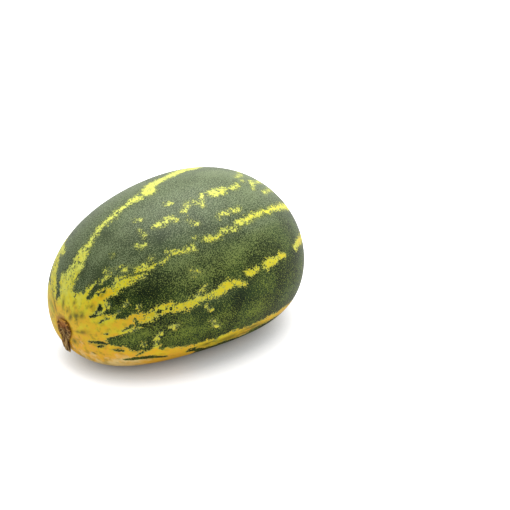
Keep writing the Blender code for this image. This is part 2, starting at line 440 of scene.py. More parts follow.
# %% Yellow strokes: the flakes between the stripes
FLAKES = [
    [(50.5, 141.3, 0.6), (52.2, 142.1, 0.6)], [(53.5, 135.1, 0.5), (55.4, 135.3, 0.6)],
    [(57.5, 133.1, 0.5), (58.8, 133.5, 0.7)], [(38.3, 135.6, 1.1), (39.8, 133.6, 0.7)],
    [(35, 125.8, 0.8), (37.7, 125.2, 0.8), (39.7, 125.1, 0.7)],
    [(38.4, 120.3, 0.7), (39.2, 120.6, 0.9)], [(45.5, 130.1, 0.7), (46.4, 131.2, 0.5)],
    [(38.1, 119.4, -1.7), (41.7, 123.6, -1.3), (45.5, 126.5, -0.9), (48.8, 130.4, -0.9),
     (49.9, 132.9, -1.1)],
    [(65, 134.5, 0.5), (66.2, 136.2, 0.6), (67.7, 137.7, 0.9), (69.6, 138.1, 0.7),
     (71.2, 138.6, 0.6), (72.6, 138.5, 0.8), (73.8, 139.8, 1), (75.3, 140.7, 0.8)],
    [(75.1, 137.2, 0.4), (75.2, 138.9, 0.5)], [(64.2, 137.9, 0.4)],
    [(77.8, 134.8, 0.4), (78.6, 134.7, 0.3)],
    [(59.9, 138.6, 0.3), (61.5, 139.2, 0.4), (63.1, 138.4, 0.3)],
    [(70.3, 151, 0.1), (72.3, 152.9, 0.2), (74, 154.6, 0.1)], [(70.3, 155.6, 0.3)],
    [(66.8, 116.4, 1), (68.7, 116.4, 1.6), (71.7, 116.5, 1.8), (74.1, 116.5, 1.6),
     (75.6, 119.1, 0.8)],
    [(80, 115.7, 0.8), (82.5, 113.7, 1), (84.4, 111.7, 1.2)],
    [(86.9, 111.8, 0.6), (87.8, 113.8, 0.8), (88.8, 116.8, 1)],
    [(89.8, 113.9, 0.8), (90.8, 111.9, 0.8), (92.3, 109.9, 0.8)],
    [(106.5, 111.1, 0.8), (108.5, 111.1, 1.3), (110.9, 109.1, 1), (112.4, 108.1, 0.6)],
    [(116.9, 105.2, 1)],
    [(118.8, 113.5, 0.6), (120.8, 109.1, 1.3), (122.4, 106.1, 1.6), (125.9, 105, 1.2),
     (130, 102.9, 1.2), (136.3, 97, 2), (150, 97, 2.4)],
    [(115.9, 100.3, 0.6), (119, 98.3, 1), (122.1, 93.3, 0.8), (125.5, 86.9, 0.8), (129.5, 82, 0.8)],
    [(123.8, 117.8, 0.5), (128.8, 114.7, 0.8), (133.9, 110.6, 1), (140.5, 107, 1.2)],
    [(60.9, 112.8, 0.6), (60.9, 117.4, 1.1)],
    [(55.9, 120.4, 0.6), (56.9, 123.4, 0.8), (58.9, 123.4, 1)],
    [(62.9, 104.2, 0.6), (64.4, 106.3, 0.6)], [(76.6, 105.5, 0.6), (78.6, 106.1, 0.8)],
    [(79.5, 122.2, 0.7), (80, 124.2, 0.7)], [(82, 126.7, 0.8)],
    [(91.3, 127.8, 0.6), (93.8, 126.8, 1), (95.2, 126.4, 0.8), (98.2, 126.9, 0.8),
     (101.1, 127.4, 1.3), (103.1, 126.4, 0.6)],
    [(45.5, 115.5, 0.5)], [(69.8, 168.1, 0.8), (71.3, 166.1, 0.7), (74.2, 163.6, 0.6)],
    [(42.8, 175.6, 0.8)],
    [(52.3, 185.5, 1.5), (50.9, 188.3, 1.8), (50, 191.6, 1.7), (50.2, 196.2, 1.5)],
    [(57, 182.6, 1), (58.6, 183.3, 1.6), (59.9, 183, 0.6)],
    [(43.6, 191.7, 1.1), (44.6, 192.6, 1.4)],
    [(34.7, 176.4, 1.5), (37.6, 176.1, 1.4), (40.9, 176.2, 1)],
    [(74.8, 187.9, 0.5), (76.3, 189.6, 0.6)], [(75.8, 192.4, 0.6), (77.9, 194.6, 0.9)],
    [(72.6, 175.8, 0.5), (73.5, 178.2, 0.5), (75.2, 180, 0.6)],
    [(38.9, 154.2, 0.6), (40.5, 153.4, 1)], [(35.8, 156.7, 0.5)],
    [(44.3, 158.8, 0.4), (45.4, 158.8, 0.5)],
    [(38.5, 134.3, 1), (40.5, 133.1, 1), (42.5, 133.6, 0.7)],
    [(32.3, 147.3, 1.8), (32.1, 144.5, 1)], [(25.3, 148.8, 1.4), (27.4, 150.3, 1.2)],
]
print(sum(len(stroke) for stroke in FLAKES), "points in", len(FLAKES), "flakes")

# %% [markdown]
# ## The golden cap and the belly
# Round the blossom end the stripes run together in a golden cap, and the belly, which the sun never
# reached, is orange-yellow: broad near the blossom end, and a band beyond it. Both are areas with a
# wandering border. A border is a row of pairs: for a cap, how far along it reaches at each angle
# around; for the belly, the angles where it starts and ends at each place along. Small dark strokes
# are the green that is left inside the yellow.

# %% Borders of the cap and the belly
CAP_BORDER = [
    (10, 23.5), (25, 25.5), (38, 24.5), (48, 18), (57.6, 12.8), (68.5, 13.1), (73.7, 14.3),
    (79.5, 14.3), (80.1, 17.1), (91.4, 19.2), (100.9, 20.7), (107.1, 21.1), (112.9, 21.6),
    (116.1, 23.2), (117.2, 24.3), (120.7, 25.3), (123, 26.7), (126.3, 27.7), (130.6, 30.2),
    (130.8, 31.4), (134.5, 33.3), (140.8, 33.7), (142.1, 32.2), (144, 31.1), (147.6, 31.1),
    (149.9, 30.3), (151.2, 28.9), (153.8, 28.7), (156.6, 31.1), (159, 33.3), (162.9, 34.2),
    (164.3, 37.5), (166.4, 40.1), (170.2, 42), (173.2, 41.2), (176.8, 38.5), (178.9, 32),
    (179.1, 27.4), (182.7, 26.6), (188.3, 26.8), (191.7, 34), (201.7, 36.7), (218.7, 34.5),
    (240.5, 33.2), (255, 31.5), (275, 26.5), (290, 22.5), (310, 20.5), (330, 25.5), (345, 19.5),
]
BELLY_START = [
    (0, 186), (27.1, 189.2), (32.7, 191.9), (35.6, 191.8), (37.1, 194.7), (39.6, 197.7),
    (43, 198.7), (44.9, 200), (47.6, 198.8), (49.3, 196.8), (52, 195.6), (53.9, 198.3),
    (56.8, 201.1), (59.1, 201.7), (63, 204.9), (66.2, 205.5), (69, 206.4), (70.7, 205.3),
    (72.8, 204.7), (75.2, 205.4), (78.7, 207.7), (79.7, 205), (83.3, 204.6), (85.1, 203.8),
    (89.2, 204.9), (94.3, 205.3), (98.9, 204.4), (112, 204.5), (128, 210), (150, 218), (165, 232),
    (180, 250),
]
BELLY_END = [
    (0, 300), (30, 298), (45, 288), (53, 279), (58, 256), (66, 243), (70, 232), (72.3, 214.7),
    (75, 216.3), (77.6, 217.8), (80.7, 217), (82.8, 216.1), (88.7, 216.6), (92.4, 218.9),
    (94.5, 217.2), (98.6, 212.8), (110, 213), (128, 219), (150, 227), (165, 239), (180, 250),
]
STEM_BORDER = [
    (0, 171), (40, 168), (70, 165), (100, 169), (130, 166), (165, 168), (200, 164), (240, 160),
    (270, 166), (310, 169), (340, 166),
]

# %% Dark strokes inside the yellow
DARK = [
    [(32, 88, 1)], [(33, 93.2, 1.2)], [(39.7, 88, 1.5)], [(40.1, 92.6, 1)], [(52.3, 85.9, 1)],
    [(55.2, 90, 0.9)], [(58.2, 90, 1)], [(65.6, 87.1, 0.8)], [(73.5, 85.3, 2)],
    [(51.5, 138.7, 0.9)], [(53.9, 198.7, 2.2)],
    [(31.6, 126.5, 2.7), (29.4, 127.4, 2.8), (27, 128.3, 3.1), (24.9, 128.9, 2)],
    [(25.5, 112.3, 3.3), (25.5, 117.2, 2.8), (24.3, 119.8, 1.8)],
    [(27.8, 144, 1.8), (27.6, 146.6, 3)], [(26.3, 146.2, 1.4), (24.8, 148.9, 1.1)],
    [(29, 153.5, 0.8), (31.2, 153.5, 1.9), (34, 155.5, 2.3), (36.3, 155.7, 2.2)],
    [(21.2, 149.3, 1.5), (23.1, 150.8, 2.2), (25.3, 151.9, 1.2), (28.6, 152.9, 0.8)],
    [(34.3, 161.3, 1.4), (36.3, 161.2, 2.3), (38.7, 161.8, 2.1), (40.4, 161.6, 1.5)],
    [(24.8, 160.1, 1), (26.7, 159, 0.7), (28.4, 158.1, 0.9), (29.7, 159, 0.8)],
    [(31.4, 141.8, 0.8), (33.1, 142.9, 1), (35.1, 146, 1.6), (38, 147, 1.8)],
    [(35.7, 174.5, 0.9), (37.5, 173.8, 1)], [(38.7, 172.9, 0.9), (40.1, 172.2, 1.3)],
    [(42.3, 169.7, 0.8), (42.7, 172.3, 1.4), (42, 174.5, 1.2)],
    [(16.4, 187.4, 1.6), (20.1, 186.6, 1.8), (23.4, 186.3, 2.1), (26.3, 187.4, 1.5)],
    [(22, 193.8, 1.1), (23.4, 191.8, 2.1), (24.6, 191.5, 1.2)],
    [(30, 195.7, 1.2), (32.3, 196.1, 1.5), (35.2, 197, 1)], [(26.4, 175, 0.7), (27.7, 174.8, 0.7)],
    [(30.4, 133.1, 1.1)], [(33.5, 135, 1.1)], [(21.7, 108.1, 2)],
    [(19.4, 112.2, 1.5), (20.7, 112.6, 1.1)], [(22.2, 114.8, 0.9)],
    [(19.1, 71.2, 4.7), (16.8, 72.9, 3.6), (14.7, 73.3, 2.1)],
    [(33.6, 146.6, 1.2), (33.9, 149.8, 1.2)], [(41.6, 167.6, 0.8)], [(27.5, 125.9, 1)],
    [(52.8, 168.3, 1.4)], [(58.1, 169.5, 1.1)], [(49.3, 173.2, 0.7)],
    [(44.7, 200.6, 1), (43.4, 202, 1.1)], [(52.7, 199.6, 1.2), (54.1, 201.3, 0.8)],
    [(42, 204, 0.8)],
    [(36.8, 210.5, 1.3), (40.6, 209.4, 2.4), (44.9, 209.1, 2.4), (49.1, 209.4, 2.4),
     (53.6, 211.8, 1.4), (56.7, 213.8, 1)],
    [(66.8, 214.2, 1.5), (69.4, 214.6, 2), (72.4, 217.2, 2.8)],
    [(66.5, 210.2, 0.7), (69.8, 211, 1.1)], [(44.6, 90.8, 0.6)], [(49.6, 90.3, 0.7)],
    [(60.4, 88, 0.7)], [(62.8, 85.6, 0.6)], [(68.4, 88.9, 0.7)], [(71, 85.4, 0.8)],
    [(77.2, 84.6, 0.6)],
]
print(len(DARK), "dark strokes")

# %% [markdown]
# ## The stripes of the far side
# The photograph can't show the far side, but the same veins run there. Its stripes are drawn by a
# seeded wanderer: it walks along the fruit, drifts a little, and lifts the brush now and then, as
# the stripes that are seen do. The seed makes every run draw the same fruit.

# %% Far side: a wandering brush
FAR_STRIPES = (14, 342, 309, 276, 243)
FAR_STRIPES_FROM = 20.0
FAR_STRIPES_TO = 170
SHORTEST_PIECE = 2
FAR_FLAKES = 26
WANDER_SEED = 7


def wandering_stripe(around, luck):
    """Strokes of one stripe, in pieces, from the cap to the stem."""
    strokes = []
    along = FAR_STRIPES_FROM
    while along < FAR_STRIPES_TO - SHORTEST_PIECE:
        piece = luck.uniform(6, 24) if along > 40 else luck.uniform(16, 26)
        end = min(along + piece, FAR_STRIPES_TO)
        stroke = []
        width = luck.uniform(1.6, 3.8) + 5.0 * max(0.0, (38 - along) / 20)
        while along < end:
            aside = luck.uniform(-1.6, 1.6)
            stroke.append((along, around + aside, width * luck.uniform(0.6, 1.35)))
            along += luck.uniform(2.0, 3.4)
        strokes.append(stroke)
        around += luck.uniform(-1.5, 1.5)
        along += luck.uniform(1.5, 7)
    return strokes


def scattered_flakes(count, luck):
    """Short strokes that stand between the far side's stripes."""
    strokes = []
    for _ in range(count):
        along = luck.uniform(42, 150)
        around = luck.uniform(-52, 40)
        reach = luck.uniform(0, 7)
        turn = luck.uniform(-0.8, 0.8)
        size = luck.uniform(0.6, 1.8)
        strokes.append([(along, around, size), (along + reach, around + turn * reach, size)])
    return strokes


luck = random.Random(WANDER_SEED)
far_strokes = [stroke for around in FAR_STRIPES for stroke in wandering_stripe(around, luck)]
far_flakes = scattered_flakes(FAR_FLAKES, luck)
print(len(far_strokes + far_flakes), "strokes on the far side")

# %% [markdown]
# ## From strokes to a map on the skin
# The strokes could be painted on an image, but an image has its own grain and seams. Each point of
# the mesh gets a number instead: how many millimetres it lies inside the yellow, negative outside
# it. Such a distance stays smooth between points, and the shader can cut it anywhere.

# %% Distances on the skin
profile_angles = np.radians(np.linspace(0, 180, 721))
profile_deg = np.degrees(profile_angles)
profile = np.array([skin_point(-math.cos(angle), 0.0) for angle in profile_angles])
radii = np.array([FRUIT_WIDTH / 2 * girth(-math.cos(angle)) / WIDEST for angle in profile_angles])
lengths = np.concatenate([[0], np.cumsum(np.hypot(np.diff(profile[:, 0]), np.diff(radii)))])


def length_to(along):
    """Millimetres over the skin from the blossom end to a place along the fruit."""
    return MM * np.interp(along, profile_deg, lengths)


def radius_at(along):
    """Radius in millimetres at a place along the fruit."""
    return MM * np.interp(along, profile_deg, radii)


along_deg = np.degrees(np.arccos(-along_of))
around_deg = np.degrees(around_of) % 360
along_mm = length_to(along_deg)
radius_mm = radius_at(along_deg)
print("end to end along the skin:", round(float(length_to(180)), 1), "mm")

# %% Distances inside the strokes
FAR_OUTSIDE = -20.0


def turn_between(angle, other):
    """The shorter way round from one angle to another, in degrees."""
    return (angle - other + 180) % 360 - 180


def inside_strokes(strokes):
    """Millimetres inside the nearest stroke, negative outside."""
    best = np.full(len(along_deg), FAR_OUTSIDE)
    for stroke in strokes:
        ends = [stroke[0]] + list(stroke)
        for (along_a, around_a, half_a), (along_b, around_b, half_b) in zip(ends, ends[1:]):
            start, end = length_to((along_a, along_b))
            radius = radius_at((along_a + along_b) / 2)
            across = np.radians(turn_between(around_b, around_a)) * radius_mm
            from_start = along_mm - start
            sideways = np.radians(turn_between(around_deg, around_a)) * radius_mm
            square = (end - start) ** 2 + across ** 2 + 1e-9  # never 0
            share = np.clip((from_start * (end - start) + sideways * across) / square, 0, 1)
            gap = np.hypot(from_start - share * (end - start), sideways - share * across)
            half = np.radians(half_a + share * (half_b - half_a)) * radius
            best = np.maximum(best, half - gap)
    return best


# %% Distances inside the caps, the belly and all strokes
def border(pairs, where, **around):
    """A row of pairs, such as a wandering border, read at each point."""
    return np.interp(where, *np.array(pairs, float).T, **around)


STRIPE_DEPTH = 1.0
FLAKE_DEPTH = 0.25
DEEPEST = 6.0
DARK_STEEPNESS = 3.0
MM_PER_DEGREE = 0.9  # along the fruit, near its ends

mm_per_degree_round = np.radians(1.0) * radius_mm
in_cap = MM_PER_DEGREE * (border(CAP_BORDER, around_deg, period=360) - along_deg)
in_stem_cap = MM_PER_DEGREE * (along_deg - border(STEM_BORDER, around_deg, period=360))
from_start = (around_deg - border(BELLY_START, along_deg)) * mm_per_degree_round
from_end = (border(BELLY_END, along_deg) - around_deg) * mm_per_degree_round
in_belly = np.minimum(from_start, from_end)
in_stripes = np.minimum(inside_strokes(list(STRIPES.values()) + far_strokes), STRIPE_DEPTH)
in_flakes = np.minimum(inside_strokes(FLAKES + far_flakes), FLAKE_DEPTH)
yellow = np.maximum.reduce([in_cap, in_stem_cap, in_belly, in_stripes, in_flakes])
yellow = np.minimum(yellow, -DARK_STEEPNESS * inside_strokes(DARK))
yellow = np.clip(yellow, -DEEPEST, DEEPEST)
print("yellow share of the points:", round(float((yellow > 0).mean()), 2))

# %% [markdown]
# ## Where the yellow turns warm, and where the green turns light
# The yellow isn't one colour. It is lemon on top and in the small flakes, golden on the sides, and
# orange on the belly and round the blossom end. Soft olive stains show in it where green is left,
# and on the belly band from 76 degrees along the same olive is painted shade, where the band turns
# down to the floor. The green has paler and deeper patches. All these change slowly, so three more
# numbers at each point hold them: warmth, stain with painted shade, and patch. They are laid down as
# soft ovals, which is quicker than painting.

# %% Soft spots: stains and warmth in the yellow, light and deep patches in the green
# Olive stains in the yellow; the four on the belly band from 76 degrees along darken it as painted
# shade.
STAINS_AND_PAINTED_SHADE = [
    (13, 142.4, 3, 2), (11.1, 33.5, 9, 3), (32.4, 194.8, 2, 2), (8.1, 211.2, 12, 1.5),
    (9.6, 128.6, 7.7, 2.3), (16.6, 140.7, 5.8, 1.8), (11.9, 170.2, 4.3, 4.1),
    (11.8, 92.2, 5.4, 2.4), (16.9, 117.3, 3, 0.9), (24.1, 139.2, 1.8, 1.1), (12.3, 52, 4.7, 5.5),
    (10.1, 111.6, 5.1, 1.1), (23.4, 190.2, 2.6, 1.8), (20.2, 209, 2, 1.4), (22.3, 137.1, 1.9, 1.1),
    (31.5, 136.4, 1.5, 0.8), (15.9, 125.3, 2.9, 0.8), (84.2, 213, 3, 9), (96, 209, 3, 6),
    (92, 212, 4, 16), (76, 210.4, 3.1, 5), (13.5, 136, 9, 2.4),
]
PATCHES = [
    (48.5, 129.6, 4, 5), (47.9, 181.2, 4, 7), (63.8, 182.5, 5, 9), (77.8, 188.3, 6, 10),
    (95.7, 191.2, 6, 8), (70.6, 146, 5.5, 8.7), (107.1, 92.4, 6, 10), (122, 98.2, 10, 10),
    (42, 107.4, 4, 7), (79.3, 147.1, 3, 4), (93.6, 149.7, 4, 8), (109.2, 139.7, 4, 10),
    (54, 106.2, 4, 4), (36.2, 152.8, 5, 4), (29.8, 114.9, 5, 4), (43.7, 124.4, 3.9, 5.1),
    (38.6, 184.7, 3.5, 2.9), (75.9, 190.9, 5.9, 5.5), (115.9, 120, 10.1, 14.8),
    (61.8, 189.9, 6, 7.6), (75.4, 154.8, 5.4, 15.2), (105.2, 141.6, 6.6, 8.5),
    (88.7, 153.1, 5.9, 8.9),
]
DEEP = [
    (50.4, 154.1, 6.3, 8.1), (37.3, 147.5, 6.7, 4.3), (35.4, 118.4, 8.5, 5.1), (89, 177.5, 10, 7.1),
    (50, 97.1, 7.9, 3.4), (64.6, 125.7, 5.3, 4.1), (37.2, 161.6, 2.6, 2.9), (32.7, 154.1, 2.3, 3.1),
    (27.4, 144.9, 2.8, 1.2), (28.3, 128, 3.4, 3.1), (71.4, 181.1, 6.8, 10), (30.8, 109.4, 9.7, 4.5),
    (34.3, 129.6, 4.5, 3.5),
]
WARM_SPOTS = (
    (-0.24, [(79.7, 210.5, 6.9, 8.9)]),
    (-0.16, [(17.8, 90.6, 15.3, 3.6), (29.9, 160.6, 4.3, 3.9)]),
    (-0.12, [(21.1, 125.8, 8.6, 2.2), (31.9, 173.3, 3.2, 3.4), (29.5, 143.7, 4, 1.1)]),
    (-0.14, [(53.5, 206.1, 7.9, 7.2), (77.1, 171.9, 4.7, 11.7), (99.6, 136.7, 4.9, 24.4)]),
    (0.08, [(39.7, 166.1, 3.4, 8.2)]),
    (0.12, [(33, 137.5, 6, 4.5), (26, 140, 8, 3), (39.4, 211.3, 5.1, 14.4)]),
    (0.13, [(16.7, 194.9, 12.2, 7.5), (21.7, 175, 3.5, 2.6), (9.8, 50.4, 18.2, 6.2)]),
)
print(len(STAINS_AND_PAINTED_SHADE), "stains,", len(PATCHES), "light patches and", len(DEEP), "deep ones")


# %% Warmth, stain and patch at each point
def soft_spots(spots):
    """Soft ovals: along, around, half-width around in degrees, half-length in millimetres."""
    total = np.zeros(len(along_deg))
    for along, around, half_around, half_along in spots:
        ways = (along_mm - length_to(along)) / half_along
        turns = turn_between(around_deg, around) / half_around
        total = np.maximum(total, np.exp(-(ways ** 2 + turns ** 2)))
    return total


CREST = 85
WARMTH_ROUND = [(0, 0), (20, 0.05), (50, 0.26), (85, 0.42), (112, 0.56), (125, 0.72), (160, 1)]
SIDE_WARMTH = 0.14
END_WARMTH = 0.60
END_REACH = 22
FLAKE_PALENESS = 0.5

from_crest = np.abs(turn_between(around_deg, CREST))
warmth = border(WARMTH_ROUND, from_crest)
blossom_side = border([(35, 1), (65, 0)], along_deg) * border([(30, 0), (70, 1)], from_crest)
warmth = warmth + SIDE_WARMTH * blossom_side
warmth = warmth + (END_WARMTH - warmth) * np.exp(-((along_deg / END_REACH) ** 2))
for shift, spots in WARM_SPOTS:
    warmth = warmth + shift * soft_spots(spots)
warmth = warmth * (1 - FLAKE_PALENESS * np.clip(1 + in_flakes, 0, 1))
stain_and_shade = soft_spots(STAINS_AND_PAINTED_SHADE)
patch = soft_spots(PATCHES) - soft_spots(DEEP)
print("warmth from", round(float(warmth.min()), 2), "to", round(float(warmth.max()), 2))

# %% Put the values on the mesh
def store(piece, name, values):
    """Stores one number or one vector for each point."""
    kind, field = ("FLOAT", "value") if values.ndim == 1 else ("FLOAT_VECTOR", "vector")
    attribute = piece.data.attributes.new(name, kind, "POINT")
    attribute.data.foreach_set(field, values.ravel().astype(np.float32))


def as_on_a_tube(along, radius, angle):
    """A piece's own coordinates, as if it were a tube with one width from end to end."""
    return np.stack([along, radius * np.cos(angle), radius * np.sin(angle)], axis=1)


skin = BVHTree.FromBMesh(rind_shape)
rind = make_piece("rind", rind_shape)
store(rind, "laid_flat", as_on_a_tube(along_mm / MM, FRUIT_WIDTH / 2, around_of))
store(rind, "yellow", yellow)
store(rind, "tint", np.stack([warmth, stain_and_shade, patch], axis=1))
print("stored on the rind: laid_flat, yellow and tint")

# %% [markdown]
# ## The rind's finish
# Two sets of coordinates are used. Object coordinates are the same in all directions, and give the
# speckles and the mottling. The piece's own map runs along the fruit and keeps its width towards
# the ends, so a pattern on it is drawn out into splinters that meet at the blossom, as the real
# ones do.

# %% Rind: coordinates and maps
rind_material, tree, shader = new_material("waxy striped rind")
rind.data.materials.append(rind_material)
grain = add(tree, "TexCoord", {}, output="Object")
flat_map = stored(tree, "laid_flat", "Vector")
inside = stored(tree, "yellow")
tint = stored(tree, "tint", "Vector")
warmth_here, stain_and_shade_here, patch_here = add(tree, "SeparateXYZ", {0: tint}).node.outputs
from_blossom = add(tree, "SeparateXYZ", {0: flat_map})
print(len(tree.nodes), "nodes so far")

# %% [markdown]
# ### Frayed edges
# The border between yellow and green is ragged, and a stripe is full of holes. Three noises push
# the distance up and down before it is cut: a coarse one for the notches, a fine one for single
# specks and holes, and one that is drawn out along the fruit for splinters. The flakes hold only a
# small distance, so the noises break them up, the stripes a larger one, and the cap and the belly
# stay whole.

# %% Rind: cut the yellow out of the distance
NOTCH_PUSH = 3.2
SPECK_PUSH = 5.6
SPLINTER_PUSH = 2.4

coarse = scatter(tree, grain, 560, detail=1.0)
fine = scatter(tree, grain, 1600, detail=1.0, roughness=0.6)
splinters = stretched(tree, flat_map, 260, 700, detail=2.0, roughness=0.5)
pushed = push(tree, inside, coarse, NOTCH_PUSH)
pushed = push(tree, pushed, fine, SPECK_PUSH)
pushed = push(tree, pushed, splinters, SPLINTER_PUSH)
is_yellow = steps(tree, pushed, -0.05, 0.2)
deep_yellow = steps(tree, pushed, 0.1, 1.2)
print(len(tree.nodes), "nodes so far")

# %% [markdown]
# ### The green
# Seen close, the green is dark with thousands of pale specks half a millimetre wide, denser in the
# light patches and yellower near the stripes. Towards the top the ground is paler and the specks are
# denser and greyer: that is painted sheen, the light from above put into the colour, with some waxy
# bloom. A single noise, cut softly, gives specks that run together here and there, as on the fruit;
# round dots from a Voronoi texture look printed. The lower the level that the noise has to pass, the
# more specks.

# %% Rind: green ground
DARK_GREEN = (0.006, 0.015, 0.003, 1.0)
FULL_GREEN = (0.02, 0.045, 0.008, 1.0)
LOW_SPECK = (0.23, 0.29, 0.036, 1.0)
# The sheen-grey speck and the bloom colour make the upper side paler: painted sheen, partly a waxy
# bloom.
SHEEN_GREY_SPECK = (0.185, 0.23, 0.115, 1.0)
BLOOM_AND_PAINTED_SHEEN = (0.092, 0.118, 0.058, 1.0)
LIME_SPECK = (0.3, 0.33, 0.06, 1.0)
BLOOM_AND_SHEEN_SHARE = 0.63
SPECK_LEVEL = 0.640

specks = scatter(tree, grain, 2600, detail=1.0, roughness=0.6)
clouds = scatter(tree, grain, 90, detail=3.0, roughness=0.55)
# Painted sheen: the upper side, found from the warmth, gets a paler ground and more, greyer specks.
upper = steps(tree, warmth_here, 0.52, 0.0)
painted_sheen_on_specks = steps(tree, warmth_here, 0.50, 0.18)
lower = steps(tree, warmth_here, 0.44, 0.60)
near_yellow = steps(tree, inside, -2.0, 0.0)
speck_level = SPECK_LEVEL
for reason, change in ((clouds, -0.14), (patch_here, -0.085), (upper, -0.065), (lower, -0.008)):
    speck_level = sum_of(tree, "MULTIPLY_ADD", reason, change, speck_level)
is_speck = steps(tree, sum_of(tree, "SUBTRACT", specks, speck_level), -0.02, 0.05)
ground = mix(tree, steps(tree, clouds, 0.40, 0.62), DARK_GREEN, FULL_GREEN)
ground = mix(tree, times(tree, upper, BLOOM_AND_SHEEN_SHARE), ground, BLOOM_AND_PAINTED_SHEEN)
speck_colour = mix(tree, painted_sheen_on_specks, LOW_SPECK, SHEEN_GREY_SPECK)
speck_colour = mix(tree, times(tree, near_yellow, 0.5), speck_colour, LIME_SPECK)
green = mix(tree, is_speck, ground, speck_colour)
print(len(tree.nodes), "nodes so far")

# %% [markdown]
# ### The yellow
# A colour ramp turns warmth into colour, with some noise on it, so no two flakes are quite alike.
# The cap is mottled in lemon, mustard and olive, a few millimetres at a time. The stains mix in
# olive too, and the thin edge of the yellow is greener, where it lies over green.

# %% Rind: yellow
OLIVE = (0.17, 0.15, 0.01, 1.0)
LIME = (0.43, 0.5, 0.115, 1.0)
FAINT_OLIVE = 0.22
CAP_EDGE = (0.018, 0.036)

on_cap = steps(tree, from_blossom, *CAP_EDGE, 1.0, 0.0)
mottle = stretched(tree, grain, 200, 300)
streaks = stretched(tree, grain, 220, 420)
restless = sum_of(tree, "MULTIPLY_ADD", on_cap, 0.3, 0.5)
warmer = push(tree, push(tree, warmth_here, clouds, 0.5), mottle, restless)
ramp = tree.nodes.new("ShaderNodeValToRGB")
YELLOWS = (
    (0.0, (0.69, 0.71, 0.125, 1.0)),
    (0.38, (0.745, 0.655, 0.024, 1.0)),
    (0.60, (0.8, 0.515, 0.016, 1.0)),
    (0.80, (0.83, 0.435, 0.03, 1.0)),
    (0.97, (0.82, 0.59, 0.22, 1.0)),
)
while len(ramp.color_ramp.elements) < len(YELLOWS):
    ramp.color_ramp.elements.new(0.5)
for element, (place, colour) in zip(ramp.color_ramp.elements, YELLOWS):
    element.position = place
    element.color = colour
fill(tree, ramp, {0: warmer})
blotches = times(tree, steps(tree, streaks, 0.46, 0.64), on_cap)
faint = times(tree, steps(tree, streaks, 0.52, 0.66), FAINT_OLIVE)
faint = sum_of(tree, "MULTIPLY_ADD", blotches, FAINT_OLIVE, faint)
# Olive from the stains; on the far belly band it is painted shade.
stained_or_shaded = times(tree, stain_and_shade_here, steps(tree, streaks, 0.30, 0.58, 0.35, 1.0))
olive_share = sum_of(tree, "MAXIMUM", faint, stained_or_shaded)
yellow_colour = mix(tree, olive_share, ramp.outputs[0], OLIVE)
yellow_colour = mix(tree, steps(tree, deep_yellow, 0.0, 0.9, 0.65, 0.0), yellow_colour, LIME)
print(len(YELLOWS), "yellows on the ramp")

# %% Rind: both together, with a russet ring round the flower's remnant
RUSSET = (0.33, 0.12, 0.02, 1.0)
RUSSET_EDGE = (0.0045, 0.0066)
RUSSET_FRAY = 0.006

colour = mix(tree, is_yellow, green, yellow_colour)
ring = push(tree, from_blossom, streaks, RUSSET_FRAY)
colour = mix(tree, steps(tree, ring, *RUSSET_EDGE, 0.7, 0.0), colour, RUSSET)
waxiness = steps(tree, specks, 0.3, 0.7, 0.40, 0.32)
finish_surface(tree, shader, colour, waxiness, shine=0.15, height=specks, strength=0.3)
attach(rind, "root")
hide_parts("fruit")
print(len(tree.nodes), "nodes in the rind's material")

# %% [markdown]
# ## Seats for the two end pieces
# The flower's remnant and the stem's stub grow out of the fruit on its axis. Each is made on its
# own little ground plane, and then lifted onto the skin point by point, by a ray that is cast down
# on it. So they sit close on the curved skin, which a plain placing can't do.

# %% Frames on the skin
TOUCHING_GAP = 0.0003


def frame_on_skin(outward, sideways):
    """Frame where the fruit's own axis leaves the skin: +Z points outwards and +X sideways."""
    axis = (nod.to_3x3() @ Vector(outward)).normalized()
    across = axis.cross((nod.to_3x3() @ Vector(sideways)).normalized())
    spot = skin.ray_cast(lying_pose.translation + axis * FRUIT_LENGTH, -axis)[0]
    columns = Matrix((across.cross(axis), across, axis)).transposed()
    return Matrix.Translation(spot) @ columns.to_4x4()


def skin_height(seat, x, y):
    """Height of the skin over a frame's ground plane at one place."""
    start = seat @ Vector((x, y, FRUIT_LENGTH / 4))
    spot = skin.ray_cast(start, -(seat.to_3x3() @ Vector((0, 0, 1))))[0]
    return (seat.inverted() @ spot).z


def turned_shape(outline, cuts, sides):
    """Closed shape turned about Z from an outline on the axis, with each of its lines cut up."""
    shape = bmesh.new()
    points = [shape.verts.new((radius, 0, height)) for radius, height in outline]
    for pair in zip(points, points[1:]):
        shape.edges.new(pair)
    bmesh.ops.subdivide_edges(shape, edges=shape.edges, cuts=cuts)
    bmesh.ops.spin(
        shape, geom=shape.verts[:] + shape.edges[:], cent=(0, 0, 0), axis=(0, 0, 1),
        angle=2 * math.pi, steps=sides, use_merge=True,
    )
    bmesh.ops.remove_doubles(shape, verts=shape.verts, dist=0.000001)
    bmesh.ops.recalc_face_normals(shape, faces=shape.faces)
    return shape

# %% [markdown]
# ## The flower's remnant
# Where the flower dried up, a corky brown disc is left, with a torn rim and one dry flap. It is
# turned from an outline, as a potter would, and then crumpled: its rim follows a few waves and a
# fray, its top is pushed down into pits, radial folds and a crack, and opposite the flap it is
# nearly flush with the skin. Each point keeps the depth of its pit, so that the material can darken
# it, as dirt and shade do.

